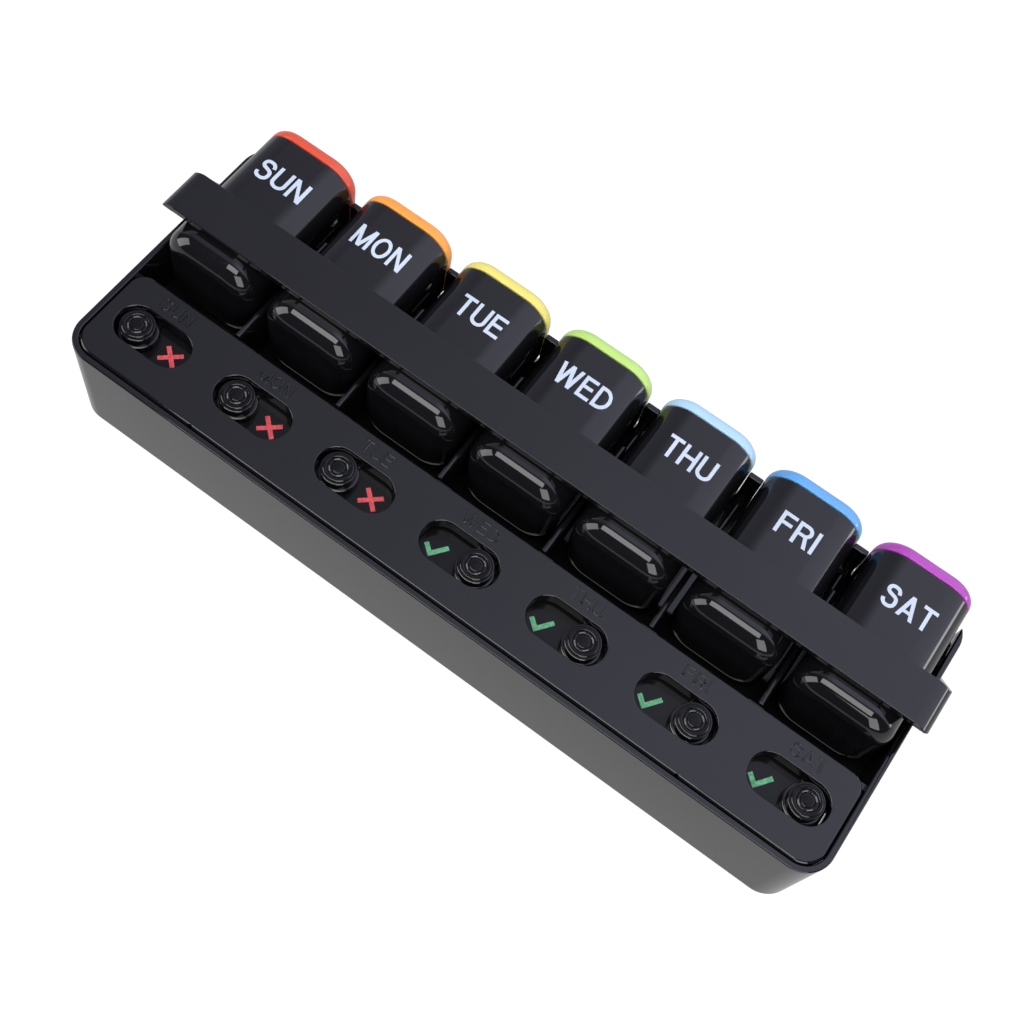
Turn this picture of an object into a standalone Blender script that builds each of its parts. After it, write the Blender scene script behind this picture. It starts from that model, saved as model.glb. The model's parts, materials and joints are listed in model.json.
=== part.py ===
"""Weekly pill organizer: a tray with seven draw-out pods, a swing bar over them and seven slide markers.

Metres, +Z up. X runs along the row of days, +Y points to the lids, and the feet stand on z = 0.
"""

import math

import bmesh
import bpy
from mathutils import Matrix, Vector

# Days, first to last along +X, with the colour of each lid
DAY_COLOURS = {
    "sun": (0.80, 0.07, 0.05),
    "mon": (0.95, 0.38, 0.03),
    "tue": (0.90, 0.75, 0.12),
    "wed": (0.45, 0.72, 0.20),
    "thu": (0.35, 0.68, 0.90),
    "fri": (0.10, 0.38, 0.85),
    "sat": (0.50, 0.07, 0.50),
}
MARKED_LEFT = ("sun", "mon", "tue")

# Tray
TRAY_LENGTH = 0.226
TRAY_DEPTH = 0.0807
TRAY_HEIGHT = 0.032
TRAY_CORNER = 0.0082
TRAY_WALL = 0.0017
TRAY_EDGE = 0.0004
FRONT_POCKET_DEPTH = 0.0272
CROSS_WALL = 0.0015
DECK = 0.0016
DECK_RISE = 0.0147
RIB_THICKNESS = 0.0016
RIB_DROP = 0.0003
RIB_LENGTH = 0.0375
LOW_RIB_DROP = 0.008
LEDGE_WIDTH = 0.0016
LEDGE_HEIGHT = 0.002
LEDGE_INSET = 0.009

# Pods, and the room left at the end walls, between pods and in front of them
END_GAP = 0.00145
POD_GAP = 0.0043
FINGER_GAP = 0.0068
POD_HEIGHT = 0.0277
POD_CORNER = 0.0082
POD_NOSE = 0.005
POD_WALL = 0.0014

# Lids and their hinges
LID_GAP = 0.0003
LID_THICKNESS = 0.0039
LID_ROUND = 0.003
LID_SKIRT = 0.002
LID_SKIRT_WALL = 0.0012
LID_SKIRT_CLEARANCE = 0.0004
HINGE_INSET_Y = 0.002
HINGE_RISE = 0.001
BARREL_RADIUS = 0.0015
LID_KNUCKLE = 0.0084
EAR_WIDTH = 0.0028
HINGE_SIDE_GAP = 0.0003
LID_PIN_RADIUS = 0.0006
LID_PIN_CLEARANCE = 0.00015
EAR_ROOT = 0.0012
NOTCH_SIDE = 0.0004
NOTCH_DROP = 0.0014

# Front panel and slots
PANEL_THICKNESS = 0.002
PANEL_GAP = 0.0003
PANEL_FRONT_CORNER = 0.006
PANEL_REAR_CORNER = 0.0045
PANEL_EDGE = 0.0003
PANEL_OVERHANG = 0.0003
SLOT_LINE_SHARE = 0.581
SLOT_LENGTH = 0.0219
SLOT_WIDTH = 0.011
SLOT_EDGE = 0.00025
SLOT_EDGE_SHARE = 0.9
COLLAR_WALL = 0.0012
COLLAR_DROP = 0.004
NICK_RADIUS = 0.0007
NICK_SHARE = 0.643
PLATE_THICKNESS = 0.0014
PLATE_DROP = 0.005
PLATE_INSET = 0.0112

# Slide buttons
BUTTON_REST = 0.005
BUTTON_PROUD = 0.0005
BUTTON_TOP_RADIUS = 0.0039
BUTTON_TIER = 0.0005
BUTTON_RADIUS = 0.0046
BUTTON_SKIRT_RADIUS = 0.00525
BUTTON_SKIRT_DROP = 0.0027
BUTTON_SKIRT = 0.0019
WING_LENGTH = 0.006
WING_REACH = 0.0066
WING_DROP = 0.0042
WING_THICKNESS = 0.0006

# Swing bar and its pivot
BAR_WIDTH = 0.013
BAR_THICKNESS = 0.0018
BAR_FOLD = 0.003
BAR_INNER_FOLD = 0.0006
BAR_SETBACK = 0.0066
BAR_REST_GAP = 0.0007
ARM_GAP = 0.0004
ARM_HUB = 0.0045
PIVOT_INSET = 0.0117
PIVOT_HEIGHT = 0.011
PIVOT_RADIUS = 0.0015
PIVOT_CLEARANCE = 0.0002
PIVOT_HEAD_RADIUS = 0.0028
PIVOT_HEAD = 0.0008
PIVOT_BOSS_RADIUS = 0.0033
PIVOT_BOSS = 0.003

# Base plate, screws and feet
BASE_PLATE = 0.0018
POST_RADIUS = 0.0032
POST_INSET = 0.0068
WEB_THICKNESS = 0.0016
SCREW_RADIUS = 0.0012
SCREW_LENGTH = 0.007
SCREW_HEAD_RADIUS = 0.0024
SCREW_HEAD = 0.001
SCREW_RECESS = 0.0002
FOOT_RADIUS = 0.005
FOOT_THICKNESS = 0.0012
FOOT_PROUD = 0.0005
FOOT_INSET = 0.016
FOOT_EDGE = 0.0003

# Clearances between pieces, how far joined shapes overlap and how far a cutter runs past what it cuts
CLEARANCE = 0.0003
PIN_FIT = 0.00015
SKIN = 0.00015
JOIN = 0.0005
OVERRUN = 0.001

# How near two points count as one, the least fold that counts as an edge, and the least that shows as one
SPECK = 0.000005
FLAT_ANGLE = 0.001
SHARP_ANGLE = 0.6

# Straight steps in each rounding
CORNER_STEPS = 4
ROUND_STEPS = 20
SEAT_STEPS = 12
SMALL_STEPS = 12
BARREL_STEPS = 12
PIN_STEPS = 8
FOLD_STEPS = 4
NOSE_STEPS = 3
LID_STEPS = 3

SIDES = {"left": -1, "right": 1}
FULL_TURN = 2 * math.pi

# Heights while the pieces are made. At the end all are lifted so that the table lies at z = 0
TABLE = -0.005
TRAY_BOTTOM = TABLE + FOOT_PROUD
RIM = TRAY_BOTTOM + TRAY_HEIGHT
DECK_TOP = TRAY_BOTTOM + DECK_RISE
DECK_BOTTOM = DECK_TOP - DECK
POD_BOTTOM = DECK_TOP + CLEARANCE
POD_TOP = POD_BOTTOM + POD_HEIGHT
PANEL_BOTTOM = RIM - PANEL_THICKNESS
SHELF_TOP = PANEL_BOTTOM - CLEARANCE
PLATE_TOP = RIM - PLATE_DROP
PLATE_BOTTOM = PLATE_TOP - PLATE_THICKNESS
LEDGE_TOP = PLATE_BOTTOM - CLEARANCE
BAR_BOTTOM = POD_TOP + BAR_REST_GAP
BAR_TOP = BAR_BOTTOM + BAR_THICKNESS
PIVOT_Z = TRAY_BOTTOM + PIVOT_HEIGHT
HINGE_Z = POD_BOTTOM + HINGE_RISE
NOTCH_BOTTOM = POD_BOTTOM - NOTCH_DROP

# Places along Y, from the front of the tray to the backs of the lids
LID_OVERHANG = LID_GAP + LID_THICKNESS - TRAY_WALL
TRAY_FRONT = -(TRAY_DEPTH + LID_OVERHANG) / 2
TRAY_BACK = TRAY_FRONT + TRAY_DEPTH
SLOT_Y = TRAY_FRONT + FRONT_POCKET_DEPTH * SLOT_LINE_SHARE
POCKET_FRONT = TRAY_FRONT + TRAY_WALL
POCKET_BACK = TRAY_FRONT + FRONT_POCKET_DEPTH
BAY_FRONT = POCKET_BACK + CROSS_WALL
BAY_BACK = TRAY_BACK - TRAY_WALL
POD_BACK = BAY_BACK
POD_FRONT = BAY_FRONT + FINGER_GAP
LID_FRONT = POD_BACK + LID_GAP
LID_BACK = LID_FRONT + LID_THICKNESS
HINGE_Y = LID_FRONT + HINGE_INSET_Y
BAR_Y = POD_FRONT + BAR_SETBACK
PIVOT_Y = TRAY_BACK - PIVOT_INSET

# Places along X
HALF = TRAY_LENGTH / 2
INSIDE = HALF - TRAY_WALL
PITCH = (2 * (INSIDE - END_GAP) + POD_GAP) / len(DAY_COLOURS)
POD_WIDTH = PITCH - POD_GAP
ARM_INNER = HALF + ARM_GAP
ARM_OUTER = ARM_INNER + BAR_THICKNESS

PARTS = None
CUTTERS = None


def clear_scene():
    for item in list(bpy.data.objects):
        bpy.data.objects.remove(item, do_unlink=True)


def new_collection(name, hidden=False):
    found = bpy.data.collections.new(name)
    bpy.context.scene.collection.children.link(found)
    found.hide_render = hidden
    return found


def principled(name, colour, roughness, metallic=0.0):
    found = bpy.data.materials.get(name)
    if found:
        return found
    made = bpy.data.materials.new(name)
    made.use_nodes = True
    shader = made.node_tree.nodes["Principled BSDF"]
    shader.inputs["Base Color"].default_value = (*colour, 1.0)
    shader.inputs["Roughness"].default_value = roughness
    shader.inputs["Metallic"].default_value = metallic
    made.diffuse_color = (*colour, 1.0)
    return made


def black():
    return principled("gloss_black", (0.012, 0.012, 0.014), 0.12)


def steel():
    return principled("steel", (0.55, 0.55, 0.56), 0.3, 1.0)


def rubber():
    return principled("grey_rubber", (0.08, 0.08, 0.085), 0.8)


def day_x(day):
    """Middle of a day's pod and slot along X."""
    middle = (len(DAY_COLOURS) - 1) / 2
    return (list(DAY_COLOURS).index(day) - middle) * PITCH


def arc(centre, radius, start, end, steps):
    """Points from angle start to angle end, both included."""
    turns = [start + (end - start) * i / steps for i in range(steps + 1)]
    return [(centre[0] + radius * math.cos(a), centre[1] + radius * math.sin(a)) for a in turns]


def rounded(low, high, radii, steps=CORNER_STEPS):
    """A rectangle with a radius for each corner, from lower left round to upper left."""
    quarter = math.pi / 2
    corners = (
        (low[0], low[1], 1, 1, 2 * quarter),
        (high[0], low[1], -1, 1, 3 * quarter),
        (high[0], high[1], -1, -1, 0.0),
        (low[0], high[1], 1, -1, quarter),
    )
    points = []
    for (x, y, sx, sy, start), radius in zip(corners, radii):
        centre = (x + sx * radius, y + sy * radius)
        points += arc(centre, radius, start, start + quarter, steps) if radius else [(x, y)]
    return points


def stadium(middle, length, width, steps=CORNER_STEPS * 2):
    """A slot outline with round ends, long along the first axis."""
    reach = (length - width) / 2
    quarter = math.pi / 2
    right = arc((middle[0] + reach, middle[1]), width / 2, -quarter, quarter, steps)
    left = arc((middle[0] - reach, middle[1]), width / 2, quarter, 3 * quarter, steps)
    return right + left


def turned_to(axis):
    """Turns a shape that runs along Z so that it runs along the given axis."""
    columns = {"Z": ("X", "Y", "Z"), "Y": ("X", "Z", "Y"), "X": ("Y", "Z", "X")}[axis]
    units = {"X": Vector((1, 0, 0)), "Y": Vector((0, 1, 0)), "Z": Vector((0, 0, 1))}
    turn = Matrix([units[name] for name in columns]).transposed()
    return turn.to_4x4()


def finished(form, origin, round_at):
    """The form as a mesh about the origin; its rim edges at the heights in round_at can take a bevel."""
    axis, heights = round_at
    weights = form.edges.layers.float.new("bevel_weight_edge")
    for edge in form.edges:
        levels = [vert.co[axis] for vert in edge.verts]
        on_rim = any(all(math.isclose(at, level, abs_tol=SPECK) for level in levels) for at in heights)
        edge[weights] = 1.0 if on_rim else 0.0
    bmesh.ops.translate(form, verts=form.verts, vec=-Vector(origin))
    form.normal_update()
    bmesh.ops.recalc_face_normals(form, faces=form.faces)
    mesh = bpy.data.meshes.new("shape")
    form.to_mesh(mesh)
    form.free()
    mesh.shade_smooth()
    mesh.set_sharp_from_angle(angle=SHARP_ANGLE)
    return mesh


def outline_mesh(outline, thickness):
    """A filled 2D curve of the outline, given its thickness and made a mesh."""
    curve = bpy.data.curves.new("outline", "CURVE")
    curve.dimensions = "2D"
    curve.fill_mode = "BOTH"
    curve.extrude = thickness / 2
    spline = curve.splines.new("POLY")
    spline.points.add(len(outline) - 1)
    for point, (u, v) in zip(spline.points, outline):
        point.co = (u, v, 0.0, 1.0)
    spline.use_cyclic_u = True
    holder = bpy.data.objects.new("outline", curve)
    bpy.context.scene.collection.objects.link(holder)
    graph = bpy.context.evaluated_depsgraph_get()
    mesh = bpy.data.meshes.new_from_object(holder.evaluated_get(graph))
    bpy.data.objects.remove(holder)
    return mesh


def slab(outline, start, end, axis="Z", round_at=(), origin=(0.0, 0.0, 0.0)):
    """The outline run from start to end along the axis, with one face for each cap."""
    form = bmesh.new()
    form.from_mesh(outline_mesh(outline, end - start))
    bmesh.ops.remove_doubles(form, verts=form.verts, dist=SPECK)
    flat = [edge for edge in form.edges if edge.calc_face_angle(1.0) < FLAT_ANGLE]
    bmesh.ops.dissolve_edges(form, edges=flat)
    middle = Matrix.Translation((0, 0, (start + end) / 2))
    bmesh.ops.transform(form, matrix=turned_to(axis) @ middle, verts=form.verts)
    return finished(form, origin, ("XYZ".index(axis), round_at))


def block(low, high):
    """A box between two corners."""
    form = bmesh.new()
    low, high = Vector(low), Vector(high)
    sides = Matrix.Diagonal((*(high - low), 1.0))
    bmesh.ops.create_cube(form, size=1.0, matrix=Matrix.Translation((low + high) / 2) @ sides)
    return finished(form, (0.0, 0.0, 0.0), (0, ()))


def disc(middle, radius, start, end, axis="Z", steps=ROUND_STEPS, round_at=(), origin=(0.0, 0.0, 0.0)):
    """A cylinder from start to end along the axis, about a point given in the other two axes."""
    form = bmesh.new()
    along = Matrix.Translation((*middle, (start + end) / 2))
    size = {"segments": steps, "radius1": radius, "radius2": radius, "depth": end - start}
    bmesh.ops.create_cone(form, cap_ends=True, matrix=turned_to(axis) @ along, **size)
    return finished(form, origin, ("XYZ".index(axis), round_at))


def place(name, mesh, collection, origin=(0.0, 0.0, 0.0), material=None):
    made = bpy.data.objects.new(name, mesh)
    made.location = origin
    collection.objects.link(made)
    if material:
        mesh.materials.append(material)
    return made


def part(name, mesh, material, origin=(0.0, 0.0, 0.0)):
    return place(name, mesh, PARTS, origin, material)


def helper(name, mesh, origin=(0.0, 0.0, 0.0)):
    made = place(name, mesh, CUTTERS, origin)
    made.hide_render = True
    made.display_type = "WIRE"
    return made


def soften(item, width, steps=2):
    """Rounds the rim edges that were marked for it."""
    bevel = item.modifiers.new("rounding", "BEVEL")
    bevel.limit_method = "WEIGHT"
    bevel.width = width
    bevel.segments = steps
    bevel.use_clamp_overlap = False
    return bevel


def combine(item, other, operation):
    step = item.modifiers.new(operation.lower() + "_" + other.name, "BOOLEAN")
    step.operation = operation
    step.solver = "EXACT"
    step.object = other


def cut(item, other):
    combine(item, other, "DIFFERENCE")


def join(item, other):
    combine(item, other, "UNION")


def revolved(name, profile, material, origin, steps=ROUND_STEPS):
    """A profile of (radius, height) points, top to bottom, turned round Z."""
    mesh = bpy.data.meshes.new(name)
    points = [(radius, 0.0, height) for radius, height in profile]
    mesh.from_pydata(points, [(i, i + 1) for i in range(len(points) - 1)], [])
    made = part(name, mesh, material, origin)
    screw = made.modifiers.new("turn", "SCREW")
    screw.steps = steps
    screw.render_steps = steps
    screw.use_merge_vertices = True
    screw.merge_threshold = SPECK
    screw.use_normal_calculate = True
    screw.use_smooth_shade = True
    return made


def post_places():
    """Middle of each screw post, inside the four corners of the tray."""
    xs = (-(HALF - POST_INSET), HALF - POST_INSET)
    ys = (TRAY_FRONT + POST_INSET, TRAY_BACK - POST_INSET)
    return [(x, y) for y in ys for x in xs]


def foot_places():
    xs = (-(HALF - FOOT_INSET), HALF - FOOT_INSET)
    ys = (TRAY_FRONT + FOOT_INSET, TRAY_BACK - FOOT_INSET)
    return [(x, y) for y in ys for x in xs]


def gap_places():
    """Middle of each gap between neighbouring pods."""
    places = [day_x(day) for day in DAY_COLOURS]
    return [(a + b) / 2 for a, b in zip(places, places[1:])]


def tray_shell():
    outline = rounded((-HALF, TRAY_FRONT), (HALF, TRAY_BACK), [TRAY_CORNER] * 4)
    made = part("base_tray", slab(outline, TRAY_BOTTOM, RIM, round_at=(RIM,)), black())
    soften(made, TRAY_EDGE, 1)
    return made


def hollow_tray(tray):
    """Cuts the front pocket, the pod bay above the deck and the space below the deck.

    The bay is square, so it opens the rounded rear corners beside the end pods.
    """
    below, above = TRAY_BOTTOM - OVERRUN, RIM + OVERRUN
    inner = TRAY_CORNER - TRAY_WALL
    pocket = rounded((-INSIDE, POCKET_FRONT), (INSIDE, POCKET_BACK), [inner, inner, 0, 0])
    cut(tray, helper("cut_pocket", slab(pocket, below, above)))
    cut(tray, helper("cut_bay", block((-INSIDE, BAY_FRONT, DECK_TOP), (INSIDE, BAY_BACK, above))))
    under = rounded((-INSIDE, BAY_FRONT), (INSIDE, BAY_BACK), [0, 0, inner, inner])
    cut(tray, helper("cut_under_deck", slab(under, below, DECK_BOTTOM)))
    near, far = POCKET_BACK - OVERRUN, BAY_FRONT + OVERRUN
    cut(tray, helper("cut_shelf", block((-INSIDE, near, SHELF_TOP), (INSIDE, far, above))))
    seat_top = TRAY_BOTTOM + BASE_PLATE + CLEARANCE
    cut(tray, helper("cut_plate_seat", block((-INSIDE, near, below), (INSIDE, far, seat_top))))


def notch_rear_wall(tray):
    """One U-shaped notch behind each pod, deep enough for its lid to fold down."""
    half = POD_WIDTH / 2 + NOTCH_SIDE
    for day in DAY_COLOURS:
        x = day_x(day)
        low, high = (x - half, NOTCH_BOTTOM), (x + half, RIM + OVERRUN)
        outline = rounded(low, high, [POD_CORNER, POD_CORNER, 0, 0])
        cut(tray, helper("cut_notch_" + day, slab(outline, BAY_BACK - JOIN, TRAY_BACK + OVERRUN, "Y")))


def add_ribs(tray):
    """A rib between neighbouring pods, high beside them and low on to the rear wall."""
    start = BAY_FRONT + PANEL_OVERHANG + CLEARANCE
    step = BAY_FRONT + RIB_LENGTH
    half = RIB_THICKNESS / 2
    floor = DECK_TOP - JOIN
    for number, x in enumerate(gap_places(), 1):
        high_rib = block((x - half, start, floor), (x + half, step, RIM - RIB_DROP))
        join(tray, helper(f"add_rib_{number}", high_rib))
        low_rib = block((x - half, step - JOIN, floor), (x + half, BAY_BACK + JOIN, RIM - LOW_RIB_DROP))
        join(tray, helper(f"add_low_rib_{number}", low_rib))


def add_ledges(tray):
    """Two ledges in the front pocket that carry the slot plate."""
    reach = INSIDE - LEDGE_INSET
    spans = (
        (POCKET_FRONT - JOIN, POCKET_FRONT + LEDGE_WIDTH),
        (POCKET_BACK - LEDGE_WIDTH, POCKET_BACK + JOIN),
    )
    for number, (near, far) in enumerate(spans, 1):
        ledge = block((-reach, near, LEDGE_TOP - LEDGE_HEIGHT), (reach, far, LEDGE_TOP))
        join(tray, helper(f"add_ledge_{number}", ledge))


def add_posts(tray):
    """Screw posts in the four corners, tied to the side walls, each with a blind hole from below.

    Those in front end under the slot plate, clear of the end buttons.
    """
    low = TRAY_BOTTOM + BASE_PLATE + CLEARANCE
    hole_top = TRAY_BOTTOM + SCREW_LENGTH + OVERRUN
    half = WEB_THICKNESS / 2
    for number, (x, y) in enumerate(post_places(), 1):
        top = LEDGE_TOP if y < 0 else DECK_BOTTOM + JOIN
        join(tray, helper(f"add_post_{number}", disc((x, y), POST_RADIUS, low, top)))
        wall = math.copysign(INSIDE + JOIN, x)
        near, far = sorted((x, wall))
        join(tray, helper(f"add_web_{number}", block((near, y - half, low), (far, y + half, top))))
        hole = disc((x, y), SCREW_RADIUS + PIN_FIT, low - OVERRUN, hole_top, steps=SMALL_STEPS)
        cut(tray, helper(f"cut_post_{number}", hole))


def across(side, inner, outer):
    """A stretch along X between two distances from the middle, on one side."""
    return sorted((side * inner, side * outer))


def add_pivot_bosses(tray):
    """A boss inside each side wall, bored for the bar's pivot pin."""
    middle = (PIVOT_Y, PIVOT_Z)
    for name, side in SIDES.items():
        boss = disc(middle, PIVOT_BOSS_RADIUS, *across(side, INSIDE - PIVOT_BOSS, INSIDE + JOIN), axis="X")
        join(tray, helper("add_boss_" + name, boss))
        ends = across(side, INSIDE - PIVOT_BOSS - OVERRUN, HALF + OVERRUN)
        bore = disc(middle, PIVOT_RADIUS + PIN_FIT, *ends, axis="X", steps=SMALL_STEPS)
        cut(tray, helper("cut_boss_" + name, bore))


def build_tray():
    tray = tray_shell()
    hollow_tray(tray)
    notch_rear_wall(tray)
    add_ribs(tray)
    add_ledges(tray)
    add_posts(tray)
    add_pivot_bosses(tray)


def build_base_plate():
    """Closes the tray from below, between its walls."""
    gap = TRAY_WALL + CLEARANCE
    low, high = (-HALF + gap, TRAY_FRONT + gap), (HALF - gap, TRAY_BACK - gap)
    outline = rounded(low, high, [TRAY_CORNER - gap] * 4)
    bottom, top = TRAY_BOTTOM, TRAY_BOTTOM + BASE_PLATE
    plate = part("base_plate", slab(outline, bottom, top), black())
    for number, place_xy in enumerate(post_places(), 1):
        hole = disc(place_xy, SCREW_RADIUS + CLEARANCE, bottom - OVERRUN, top + OVERRUN, steps=SMALL_STEPS)
        cut(plate, helper(f"cut_screw_hole_{number}", hole))
        seat_top = bottom + SCREW_RECESS + SCREW_HEAD + CLEARANCE
        seat = disc(place_xy, SCREW_HEAD_RADIUS + CLEARANCE, bottom - OVERRUN, seat_top, steps=SEAT_STEPS)
        cut(plate, helper(f"cut_screw_seat_{number}", seat))
    for number, place_xy in enumerate(foot_places(), 1):
        seat_top = TABLE + FOOT_THICKNESS + CLEARANCE
        seat = disc(place_xy, FOOT_RADIUS + CLEARANCE, bottom - OVERRUN, seat_top)
        cut(plate, helper(f"cut_foot_seat_{number}", seat))


def build_screws():
    low = TRAY_BOTTOM + SCREW_RECESS
    for number, place_xy in enumerate(post_places(), 1):
        head = disc(place_xy, SCREW_HEAD_RADIUS, low, low + SCREW_HEAD, steps=SEAT_STEPS)
        screw = part(f"screw_{number}", head, steel())
        top = low + SCREW_LENGTH - SCREW_RECESS
        shank = disc(place_xy, SCREW_RADIUS, low + SCREW_HEAD / 2, top, steps=SMALL_STEPS)
        join(screw, helper(f"add_shank_{number}", shank))


def build_feet():
    for number, place_xy in enumerate(foot_places(), 1):
        mesh = disc(place_xy, FOOT_RADIUS, TABLE, TABLE + FOOT_THICKNESS, round_at=(TABLE,))
        foot = part(f"rubber_foot_{number}", mesh, rubber())
        soften(foot, FOOT_EDGE, 1)


def add_slot(panel, day):
    """A well for one button: a collar below the panel, and a slot with a broken edge through both."""
    middle = (day_x(day), SLOT_Y)
    collar_bottom = RIM - COLLAR_DROP
    outer = stadium(middle, SLOT_LENGTH + 2 * COLLAR_WALL, SLOT_WIDTH + 2 * COLLAR_WALL)
    join(panel, helper("add_collar_" + day, slab(outer, collar_bottom, PANEL_BOTTOM + JOIN)))
    through = stadium(middle, SLOT_LENGTH, SLOT_WIDTH)
    cut(panel, helper("cut_slot_" + day, slab(through, collar_bottom - OVERRUN, RIM + OVERRUN)))
    wide = stadium(middle, SLOT_LENGTH + 2 * SLOT_EDGE, SLOT_WIDTH + 2 * SLOT_EDGE)
    edge_bottom = RIM - SLOT_EDGE
    edge = helper("cut_edge_" + day, slab(wide, edge_bottom, RIM + OVERRUN, round_at=(edge_bottom,)))
    soften(edge, SLOT_EDGE * SLOT_EDGE_SHARE, 1)
    cut(panel, edge)


def build_panel():
    """The fascia over the front pocket, with a well for each day's button and two pry nicks."""
    gap = TRAY_WALL + PANEL_GAP
    low = (-HALF + gap, TRAY_FRONT + gap)
    high = (HALF - gap, BAY_FRONT + PANEL_OVERHANG)
    radii = [PANEL_FRONT_CORNER, PANEL_FRONT_CORNER, PANEL_REAR_CORNER, PANEL_REAR_CORNER]
    mesh = slab(rounded(low, high, radii), PANEL_BOTTOM, RIM, round_at=(RIM,))
    panel = part("front_panel", mesh, black())
    soften(panel, PANEL_EDGE, 1)
    for day in DAY_COLOURS:
        add_slot(panel, day)
    for name, side in SIDES.items():
        place_xy = (side * HALF * NICK_SHARE, low[1])
        nick = disc(place_xy, NICK_RADIUS, PANEL_BOTTOM - OVERRUN, RIM + OVERRUN, steps=SMALL_STEPS)
        cut(panel, helper("cut_nick_" + name, nick))


def build_slot_plate():
    """The floor of the wells, lying on the two ledges; it ends short of the screw posts."""
    reach = HALF - PLATE_INSET
    low = (-reach, POCKET_FRONT + CLEARANCE, PLATE_BOTTOM)
    high = (reach, POCKET_BACK - CLEARANCE, PLATE_TOP)
    part("slot_plate", block(low, high), principled("satin_black", (0.015, 0.015, 0.017), 0.3))


def button_profile():
    """From the middle of the top down to the middle of the underside, as (radius, height above the rim)."""
    tier = BUTTON_PROUD - BUTTON_TIER
    skirt = -BUTTON_SKIRT_DROP
    return [
        (0.0, BUTTON_PROUD),
        (BUTTON_TOP_RADIUS, BUTTON_PROUD),
        (BUTTON_TOP_RADIUS, tier),
        (BUTTON_RADIUS, tier),
        (BUTTON_RADIUS, skirt),
        (BUTTON_SKIRT_RADIUS, skirt),
        (BUTTON_SKIRT_RADIUS, skirt - BUTTON_SKIRT),
        (0.0, skirt - BUTTON_SKIRT),
    ]


def build_buttons():
    """The slide markers: the first three days rest to the left, the others to the right."""
    top = RIM - WING_DROP
    for day in DAY_COLOURS:
        side = -1 if day in MARKED_LEFT else 1
        x = day_x(day) + side * BUTTON_REST
        button = revolved("slide_button_" + day, button_profile(), black(), (x, SLOT_Y, RIM))
        low = (x - WING_LENGTH / 2, SLOT_Y - WING_REACH, top - WING_THICKNESS)
        high = (x + WING_LENGTH / 2, SLOT_Y + WING_REACH, top)
        join(button, helper("add_wings_" + day, block(low, high)))


def pod_outline(x, inset=0.0):
    """The pod's cross-section in X and Z."""
    half = POD_WIDTH / 2 - inset
    low, high = (x - half, POD_BOTTOM + inset), (x + half, POD_TOP - inset)
    return rounded(low, high, [POD_CORNER - inset] * 4)


def hinge_disc(x, width, radius, steps=BARREL_STEPS, origin=(0.0, 0.0, 0.0)):
    """A disc on a lid's hinge axis."""
    return disc((HINGE_Y, HINGE_Z), radius, x - width / 2, x + width / 2, "X", steps, (), origin)


def ear_places(x):
    reach = (LID_KNUCKLE + EAR_WIDTH) / 2 + HINGE_SIDE_GAP
    return {"left": x - reach, "right": x + reach}


def build_pod(day):
    """A round-cornered cup lying on its side, open to the rear, with two hinge ears below its mouth."""
    x = day_x(day)
    origin = (x, POD_BACK, POD_BOTTOM)
    mesh = slab(pod_outline(x), POD_FRONT, POD_BACK, "Y", (POD_FRONT,), origin)
    pod = part("pod_" + day, mesh, black(), origin)
    soften(pod, POD_NOSE, NOSE_STEPS)
    inner_front = POD_FRONT + POD_WALL
    inner = slab(pod_outline(x, POD_WALL), inner_front, POD_BACK + OVERRUN, "Y", (inner_front,))
    hollow = helper("cut_pod_" + day, inner)
    soften(hollow, POD_NOSE - POD_WALL, NOSE_STEPS - 1)
    cut(pod, hollow)
    for side, place_x in ear_places(x).items():
        join(pod, helper(f"add_ear_{side}_{day}", hinge_disc(place_x, EAR_WIDTH, BARREL_RADIUS)))
        low = (place_x - EAR_WIDTH / 2, POD_BACK - POD_WALL, POD_BOTTOM + SKIN)
        high = (place_x + EAR_WIDTH / 2, HINGE_Y, HINGE_Z + EAR_ROOT)
        join(pod, helper(f"add_root_{side}_{day}", block(low, high)))
        bore = hinge_disc(place_x, EAR_WIDTH + 2 * OVERRUN, LID_PIN_RADIUS + LID_PIN_CLEARANCE)
        cut(pod, helper(f"cut_ear_{side}_{day}", bore))


def build_lid(day):
    """The coloured end lid, with a skirt that plugs the pod and a knuckle between the pod's ears."""
    x = day_x(day)
    origin = (x, HINGE_Y, HINGE_Z)
    mesh = slab(pod_outline(x), LID_FRONT, LID_BACK, "Y", (LID_BACK,), origin)
    lid = part("lid_" + day, mesh, principled("lid_" + day, DAY_COLOURS[day], 0.2), origin)
    soften(lid, LID_ROUND, LID_STEPS)
    outer = POD_WALL + LID_SKIRT_CLEARANCE
    skirt_front = LID_FRONT - LID_SKIRT
    skirt = slab(pod_outline(x, outer), skirt_front, LID_FRONT + JOIN, "Y")
    join(lid, helper("add_skirt_" + day, skirt))
    hollow = slab(pod_outline(x, outer + LID_SKIRT_WALL), skirt_front - OVERRUN, LID_FRONT + JOIN, "Y")
    cut(lid, helper("cut_skirt_" + day, hollow))
    half = EAR_WIDTH / 2 + HINGE_SIDE_GAP
    for side, place_x in ear_places(x).items():
        low = (place_x - half, skirt_front - OVERRUN, POD_BOTTOM - OVERRUN)
        high = (place_x + half, LID_BACK + OVERRUN, HINGE_Z + BARREL_RADIUS + CLEARANCE)
        cut(lid, helper(f"cut_relief_{side}_{day}", block(low, high)))
    join(lid, helper("add_knuckle_" + day, hinge_disc(x, LID_KNUCKLE, BARREL_RADIUS)))
    bore = hinge_disc(x, LID_KNUCKLE + 2 * OVERRUN, LID_PIN_RADIUS + LID_PIN_CLEARANCE)
    cut(lid, helper("cut_knuckle_" + day, bore))


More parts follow.
